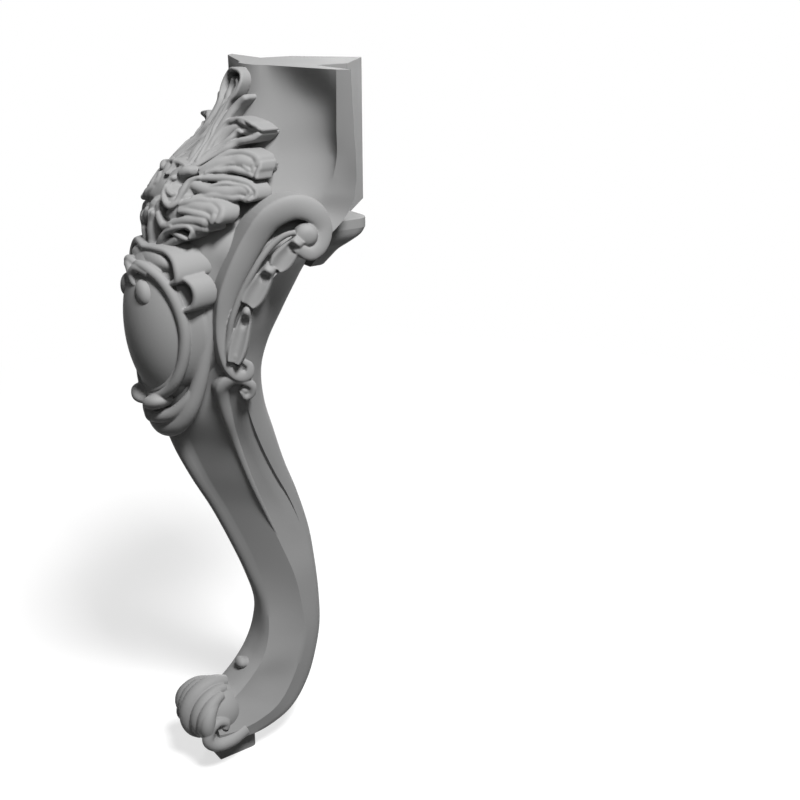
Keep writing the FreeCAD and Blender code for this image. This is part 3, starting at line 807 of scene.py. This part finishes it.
# %% The strands
LEAF_DRAWING = ((138, 62), 6, 0.0005)
STRANDS = {
    "spoon rim": (1.5, [(575, 44, 1.8), (602, 52, 1.8), (618, 75, 1.8), (618, 115, 1.8), (606, 155, 1.8),
        (580, 198, 1.8), (548, 240, 1.8), (515, 290, 1.8), (490, 338, 1.6), (462, 392, 1.5),
        (430, 455, 1.5), (392, 520, 1.5), (348, 590, 1.4)]),
    "spoon crown": (-0.5, [(640, 215, 3), (602, 254, 3.6), (562, 302, 3.8), (524, 355, 3.4), (485, 410, 3),
        (440, 472, 2.8), (390, 540, 2.4), (345, 600, 2)]),
    "spoon flank": (-3, [(600, 105, 2.6), (602, 145, 3), (590, 190, 3.6), (560, 240, 4), (528, 292, 3.6),
        (495, 345, 3.2), (460, 400, 2.8), (420, 462, 2.4), (375, 535, 2)]),
    "spoon floor": (-4.5, [(560, 130, 4), (548, 180, 4), (515, 235, 4.5), (480, 290, 4.5), (450, 345, 4.5),
        (420, 405, 4.5), (390, 465, 4), (350, 535, 4), (310, 600, 4)]),
    "spoon vein": (-2, [(540, 235, 1.6), (505, 280, 1.8), (475, 330, 1.8), (447, 385, 1.8),
        (418, 440, 1.8), (385, 500, 1.8), (345, 560, 1.6), (310, 605, 1.5)]),
    "hook top": (0, [(333, 612, 1.8), (378, 565, 2), (422, 510, 2.4), (462, 455, 2.8), (502, 405, 3),
        (538, 368, 3), (568, 350, 2.6), (602, 344, 2), (642, 352, 1.8), (680, 374, 1.8), (714, 394, 1.8),
        (736, 402, 1.6)]),
    "hook flap": (-1.5, [(600, 356, 1.8), (640, 370, 2.2), (676, 388, 2), (704, 400, 1.6)]),
    "hook low": (-1, [(348, 616, 1.6), (400, 572, 2), (452, 528, 2.2), (502, 488, 2.4), (548, 452, 2.4),
        (582, 424, 2.4), (602, 412, 2.2), (612, 418, 1.6)]),
    "hook bottom": (-2.5, [(362, 618, 1.8), (420, 578, 2.2), (480, 542, 2.6), (540, 506, 3),
        (592, 476, 3.2), (642, 458, 3.2), (690, 444, 3), (728, 420, 2.6)]),
    "hook floor": (-4, [(360, 600, 4), (420, 545, 5), (479, 481, 5.5), (540, 425, 5.5), (600, 400, 5),
        (660, 410, 4.5), (710, 412, 3.5)]),
    "round top": (0, [(372, 640, 1.8), (425, 608, 2.2), (480, 573, 2.6), (535, 546, 3), (590, 537, 3.2),
        (640, 540, 3.4), (685, 552, 4), (710, 575, 4.4), (716, 605, 4.4)]),
    "round pill": (2, [(730, 598, 2), (722, 622, 2.4), (712, 645, 2.2), (706, 668, 2.6), (703, 686, 2.2)]),
    "round cheek": (-1, [(685, 600, 3), (690, 640, 3.4), (696, 672, 3)]),
    "round mid": (-0.5, [(432, 652, 1.6), (478, 628, 2), (525, 607, 2.4), (572, 600, 2.6), (612, 605, 2.6),
        (640, 624, 2.4), (662, 648, 2)]),
    "round low": (-1, [(400, 660, 1.6), (450, 652, 2), (500, 644, 2.4), (550, 640, 2.6), (600, 645, 2.8),
        (650, 660, 2.6), (680, 676, 2)]),
    "round floor": (-2.2, [(380, 655, 3), (440, 632, 5), (500, 612, 6), (560, 600, 6.5), (620, 600, 7),
        (680, 610, 7)]),
    "nest top": (0, [(330, 702, 1.6), (390, 692, 2.2), (450, 690, 2.6), (510, 692, 2.8), (570, 698, 3),
        (622, 708, 3), (660, 724, 2.8), (690, 748, 2.6), (706, 774, 2.4), (694, 800, 2.2), (660, 820, 2)]),
    "nest rim": (0.5, [(412, 742, 1.4), (460, 732, 1.8), (515, 728, 2), (570, 728, 2), (618, 735, 2),
        (650, 750, 2), (664, 773, 1.8), (655, 794, 1.6), (636, 812, 1.5)]),
    "nest low": (-1, [(330, 812, 2.6), (390, 806, 3.4), (450, 800, 3.6), (510, 802, 3.2), (560, 804, 2.8),
        (606, 808, 2.4), (640, 822, 2)]),
    "nest floor": (-1.8, [(340, 740, 5), (400, 765, 6), (470, 775, 7), (540, 772, 7), (610, 770, 6),
        (660, 780, 4)]),
    "thumb top": (0, [(255, 848, 2.4), (310, 838, 3), (365, 834, 3.4), (415, 834, 3.6), (455, 842, 4),
        (488, 858, 4.6), (506, 890, 4.6), (500, 925, 4.4), (478, 955, 3.6)]),
    "thumb cheek": (-1, [(420, 872, 3), (450, 900, 3.6), (458, 935, 3.6), (448, 962, 3)]),
    "thumb low": (-1, [(245, 898, 2.4), (290, 902, 3), (340, 908, 3.2), (385, 918, 3), (425, 938, 2.8),
        (450, 962, 2.4)]),
    "thumb finger": (-1.5, [(250, 884, 1.6), (300, 882, 2), (350, 882, 2), (385, 884, 1.6)]),
    "thumb floor": (-2.8, [(270, 870, 4), (330, 875, 6), (390, 885, 7), (440, 895, 7), (475, 915, 6)]),
    "roll front": (0, [(118, 1105, 2.4), (136, 1060, 2.8), (160, 1028, 2.6), (195, 1006, 2.4),
        (240, 994, 2.2), (280, 988, 2), (312, 998, 2), (322, 1024, 1.8), (312, 1052, 1.6)]),
    "roll inner": (-2.5, [(200, 1026, 2.2), (236, 1036, 2.6), (266, 1054, 2.4), (292, 1062, 1.8)]),
    "roll top": (-1, [(190, 975, 3), (245, 960, 3.6), (300, 952, 4), (355, 955, 4.4), (405, 968, 4.4)]),
    "roll cheek": (-2.5, [(300, 985, 4), (350, 995, 4.5), (400, 1000, 4)]),
    "tulip left": (0, [(92, 905, 3.2), (76, 950, 4.4), (68, 1000, 4.8), (68, 1050, 4.8), (84, 1095, 4.4),
        (108, 1135, 3.4)]),
    "tulip right": (0, [(122, 905, 3), (132, 945, 3.8), (150, 978, 4), (178, 990, 3.4), (205, 986, 2.6)]),
    "tulip low": (-3, [(112, 1140, 4), (160, 1118, 5), (205, 1085, 4.5), (240, 1060, 3.5)]),
    "tulip floor": (-5, [(110, 910, 5), (110, 970, 6), (120, 1030, 7), (140, 1080, 6)]),
    "curl": (3, [(366, 692, 1.8), (325, 698, 2.2), (292, 722, 2.6), (268, 765, 2.8), (246, 812, 2.8),
        (222, 848, 2.8), (190, 864, 2.8), (162, 848, 2.6), (150, 812, 2.4), (152, 775, 2),
        (163, 742, 1.8)]),
    "curl inner": (1, [(210, 800, 2.6), (184, 782, 2.8), (176, 745, 2.8), (192, 708, 2.6),
        (216, 694, 2.4)]),
    "curl top": (2, [(168, 668, 2.2), (178, 632, 2.4), (205, 610, 2.6), (240, 604, 2.6), (268, 612, 2.4),
        (285, 630, 2)]),
    "curl bead": (3, [(262, 664, 4), (292, 656, 4.6), (322, 655, 3.6)]),
    "heart": (-2.5, [(310, 655, 7), (260, 690, 9), (225, 740, 10), (215, 800, 10), (225, 840, 8)]),
    "heart low": (-3, [(150, 850, 7), (150, 900, 8), (140, 960, 9), (125, 1030, 8), (125, 1080, 7)]),
    "cheek fill": (-4, [(330, 720, 6), (300, 780, 8), (280, 830, 8), (250, 880, 8), (220, 920, 8)]),
}


def leaf_strand(lift, drawn):
    """Rows of (x, depth, z, radius) of one drawn strand, held on this side of the middle."""
    rows = []
    for u, v, radius in drawn:
        x, depth, z = laid((u, v), LEAF_DRAWING, over_ground(lift - radius))
        rows.append((*pressed_back(max(x, 0), depth, z), radius))
    return rows


CHISEL = (0.3, 0.95, 0.05)
ROOT_DEPTH = 44
TIP_THINNER = 26


def leaf_depth(x, z):
    """The leaves are deep at their roots and thin out towards their free tips."""
    return ROOT_DEPTH - TIP_THINNER * max(fade(x, 20, 55), 1.2 * fade(z, 655, 680))


crown = Heap("acanthus")
for lift, drawn in STRANDS.values():
    crown.add_rings(walled(leaf_strand(lift, drawn), CHISEL, base=leaf_depth), twin=True)
acanthus = crown.skin(voxel=0.7, smooth=2, limit=195000)

# %% [markdown]
# ## The scroll foot
#
# A ball toe with a ribbed leaf bent over it, a volute at each side and a bead on top.

# %% The foot
foot = Heap("scroll_foot")
BALL_DEPTH = 117
BALL_Z = 58
BALL_RADIUS = 30
RIB_START = -55
RIB_POINTS = 8
# x, reach from the ball's centre, the angle at which the rib stops, how far it leans outwards
# and its radius
MIDDLE_RIB = (0, 31, 118, 0, 10)
# x, the angle at which the rib stops and how far it leans outwards
SIDE_RIBS = ((9, 108, 5), (17, 92, 8), (21, 72, 8))
SIDE_RIB_RADIUS = 8
REACH_LOSS = 0.3
TOP_BEAD = ((0, 82, 101), (0, 1, 0.4), (1, 0, 0), 8, 6, 6)
FOOT_SPIRAL = [(27, 96, 38, 8), (29, 114, 33, 8), (30, 131, 34, 7.5), (30.5, 141, 43, 6.5),
               (30, 138, 55, 5.8), (29, 128, 60, 5.2), (29, 119, 56, 4.6), (29, 120, 49, 4)]
foot.add_rings(ball_rings(place(0, BALL_DEPTH, BALL_Z), (BALL_RADIUS,) * 3, 48, 64))


def rib(x, reach, stop, splay, radius):
    """A rib of the toe leaf, bent over the ball and leaning outwards in the middle."""
    path = []
    for i in range(RIB_POINTS + 1):
        t = i / RIB_POINTS
        a = math.radians(RIB_START + (stop - RIB_START) * t)
        path.append((x + splay * math.sin(math.pi * t), BALL_DEPTH + reach * math.cos(a),
                     BALL_Z + reach * math.sin(a), radius * (0.6 + 0.4 * math.sin(math.pi * t))))
    return roll(path, 4)


foot.add(*rib(*MIDDLE_RIB))
for x, stop, splay in SIDE_RIBS:
    foot.add(*rib(x, BALL_RADIUS - x * REACH_LOSS, stop, splay, SIDE_RIB_RADIUS), twin=True)
foot.add_rings(cushion(*TOP_BEAD))
foot.add(*roll(FOOT_SPIRAL), twin=True)
toe = foot.skin(voxel=0.7, smooth=2, limit=150000)

# %% [markdown]
# ## Finish
#
# Matte grey paint over wood: a faint grain and brush marks in the bump, and a slightly
# uneven tone and sheen.

# %% The paint
class Node:
    """A value in a shader tree that can be added, scaled and mixed."""

    tree = None

    def __init__(self, socket):
        self.socket = socket

    @classmethod
    def math(cls, kind, *values):
        node = cls.tree.nodes.new("ShaderNodeMath")
        node.operation = kind
        for slot, value in zip(node.inputs, values):
            if isinstance(value, Node):
                cls.tree.links.new(value.socket, slot)
            else:
                slot.default_value = value
        return cls(node.outputs[0])

    def __add__(self, other):
        return Node.math("ADD", self, other)

    def __sub__(self, other):
        return Node.math("SUBTRACT", self, other)

    def __mul__(self, other):
        return Node.math("MULTIPLY", self, other)

    __radd__ = __add__
    __rmul__ = __mul__

    def clip(self):
        return Node.math("MINIMUM", Node.math("MAXIMUM", self, 0.0), 1.0)


def add_node(kind, settings=None, **links):
    """One shader node, with its settings and what feeds its inputs."""
    node = Node.tree.nodes.new(kind)
    for key, value in (settings or {}).items():
        if hasattr(node, key):
            setattr(node, key, value)
        else:
            node.inputs[key].default_value = value
    for key, value in links.items():
        slot = node.inputs[key.replace("_", " ")]
        Node.tree.links.new(value.socket if isinstance(value, Node) else value, slot)
    return node


DARK_GREY = 0.20
LIGHT_GREY = 0.27
ROUGHNESS = 0.50
PAINT.use_nodes = True
Node.tree = PAINT.node_tree
shader = PAINT.node_tree.nodes["Principled BSDF"]
shader.inputs["Specular IOR Level"].default_value = 0.1
where = add_node("ShaderNodeTexCoord").outputs["Object"]
stretch = add_node("ShaderNodeMapping", Vector=where)
stretch.inputs["Scale"].default_value = (1.0, 1.0, 0.12)
grain = Node(add_node("ShaderNodeTexNoise", {"Scale": 900.0, "Detail": 4.0, "Roughness": 0.6},
                      Vector=stretch.outputs[0]).outputs[0])
cloud = Node(add_node("ShaderNodeTexNoise", {"Scale": 22.0, "Detail": 3.0}, Vector=where).outputs[0])
fine = Node(add_node("ShaderNodeTexNoise", {"Scale": 420.0, "Detail": 3.0}, Vector=where).outputs[0])
tone = (cloud * 0.12 + fine * 0.05 + 0.9).clip()
greys = add_node("ShaderNodeValToRGB", Fac=tone)
for end, grey in zip(greys.color_ramp.elements, (DARK_GREY, LIGHT_GREY)):
    end.color = (grey, grey, grey, 1)
Node.tree.links.new(greys.outputs["Color"], shader.inputs["Base Color"])
roughness = cloud * 0.14 + fine * 0.05 + ROUGHNESS
Node.tree.links.new(roughness.socket, shader.inputs["Roughness"])
bump = add_node("ShaderNodeBump", {"Strength": 0.10, "Distance": 0.0004}, Height=grain * 0.6 + fine * 0.4)
Node.tree.links.new(bump.outputs["Normal"], shader.inputs["Normal"])
print("The paint has", len(PAINT.node_tree.nodes), "nodes")

# %% [markdown]
# ## Hand the pieces to the frame
#
# Every piece belongs to the one carved leg, takes the place of its solid and wears the paint.

# %% Pieces ride on the leg
PIECES = [body, post, ledge, pad, dome, knee, scrolls, acanthus, toe]
for piece in PIECES:
    piece.data.materials.clear()
    piece.data.materials.append(PAINT)
    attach(piece, "root")
    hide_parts("carved_leg")
triangles = [sum(len(p.vertices) - 2 for p in piece.data.polygons) for piece in PIECES]
print(sum(triangles), "triangles in all")

# %% [markdown]
# ## Floor and backdrop
#
# The camera, and any mirroring or clear surface, see a white floor that keeps the leg's
# shadow and runs into a white backdrop. Other light meets a dark floor and a dim backdrop, so
# that the hollows keep their depth.

# %% Floor and backdrop
def seen_directly():
    """1 for rays of the camera and rays that a surface mirrors or lets through, 0 for others."""
    path = add_node("ShaderNodeLightPath")
    camera_ray, glossy_ray, clear_ray = [Node(path.outputs[name]) for name in
                                         ("Is Camera Ray", "Is Glossy Ray", "Is Transmission Ray")]
    return Node.math("MAXIMUM", camera_ray, Node.math("MAXIMUM", glossy_ray, clear_ray))


def mixed(share, first, second):
    """The first shader, and the second by its share."""
    mix = add_node("ShaderNodeMixShader")
    if isinstance(share, Node):
        Node.tree.links.new(share.socket, mix.inputs[0])
    else:
        mix.inputs[0].default_value = share
    Node.tree.links.new(first, mix.inputs[1])
    Node.tree.links.new(second, mix.inputs[2])
    return mix.outputs[0]


FLOOR_Z = -HEIGHT * MM
FLOOR_HALF = 30
# Metres from the middle of the leg's top beyond which the floor whitens, and how fast it does
SHADOW_REACH = 0.95
WHITENING = 1.6
GLOW_SHARE = 0.6
floor_corners = [(FLOOR_HALF * x, FLOOR_HALF * y, FLOOR_Z) for x, y in ((-1, -1), (1, -1), (1, 1), (-1, 1))]
floor = new_object("floor", floor_corners, [(0, 1, 2, 3)])
white = bpy.data.materials.new("floor_white")
white.use_nodes = True
Node.tree = white.node_tree
paper = white.node_tree.nodes["Principled BSDF"]
paper.inputs["Base Color"].default_value = (0.93, 0.93, 0.93, 1)
paper.inputs["Roughness"].default_value = 0.9
paper.inputs["Specular IOR Level"].default_value = 0.0
near_glow = add_node("ShaderNodeEmission", {"Strength": 1.12})
far_glow = add_node("ShaderNodeEmission", {"Strength": 1.0})
dim = add_node("ShaderNodeBsdfDiffuse", {"Color": (0.05, 0.05, 0.05, 1)})
where = add_node("ShaderNodeTexCoord").outputs["Object"]
away = Node(add_node("ShaderNodeVectorMath", {"operation": "LENGTH"}, Vector=where).outputs["Value"])
near = mixed(GLOW_SHARE, paper.outputs[0], near_glow.outputs[0])
shown = mixed(((away - SHADOW_REACH) * WHITENING).clip(), near, far_glow.outputs[0])
Node.tree.links.new(mixed(seen_directly(), dim.outputs[0], shown),
                    white.node_tree.nodes["Material Output"].inputs["Surface"])
floor.data.materials.append(white)

world = bpy.data.worlds.new("studio")
world.use_nodes = True
Node.tree = world.node_tree
fill = world.node_tree.nodes["Background"]
fill.inputs["Color"].default_value = (1, 1, 1, 1)
fill.inputs["Strength"].default_value = 0.045
backdrop = add_node("ShaderNodeBackground", {"Color": (1, 1, 1, 1), "Strength": 1.0})
Node.tree.links.new(mixed(seen_directly(), fill.outputs[0], backdrop.outputs[0]),
                    world.node_tree.nodes["World Output"].inputs["Surface"])
bpy.context.scene.world = world
print("The floor is", 2 * FLOOR_HALF, "m wide and lies at", FLOOR_Z, "m")

# %% [markdown]
# ## Lamps and camera
#
# One high soft lamp does most of the work. A weak one opens the front, and one behind the leg
# lights its back. The camera stands where the photograph was taken from, as fitted from
# measured points.

# %% Lamps and camera
LAMPS = [
    # name, place, what it looks at, side and power
    ("key", (1.80, -0.22, 2.34), (0, -0.1, -0.3), 0.7, 158),
    ("front", (2.46, -1.0, 1.14), (0, -0.1, -0.3), 1.0, 5),
    ("back", (-2.1, 1.9, -0.15), (0, 0, -0.35), 1.0, 60),
]


def area_light(name, spot, target, size, power):
    data = bpy.data.lights.new(name, "AREA")
    data.size = size
    data.energy = power
    lamp = bpy.data.objects.new(name, data)
    lamp.location = spot
    lamp.rotation_euler = (Vector(target) - Vector(spot)).to_track_quat("-Z", "Y").to_euler()
    bpy.context.collection.objects.link(lamp)


for lamp in LAMPS:
    area_light(*lamp)

lens = bpy.data.cameras.new("camera")
lens.lens = LENS
lens.sensor_width = SENSOR
camera = bpy.data.objects.new("camera", lens)
turn = camera.matrix_world.copy()
for i in range(3):
    turn[i][0], turn[i][1], turn[i][2], turn[i][3] = RIGHT[i], UP[i], -FORWARD[i], EYE[i]
camera.matrix_world = turn
bpy.context.collection.objects.link(camera)
bpy.context.scene.camera = camera
bpy.context.scene.view_settings.view_transform = "Standard"
print("The camera is", round(float(np.linalg.norm(EYE)), 2), "m from the middle of the leg's top")
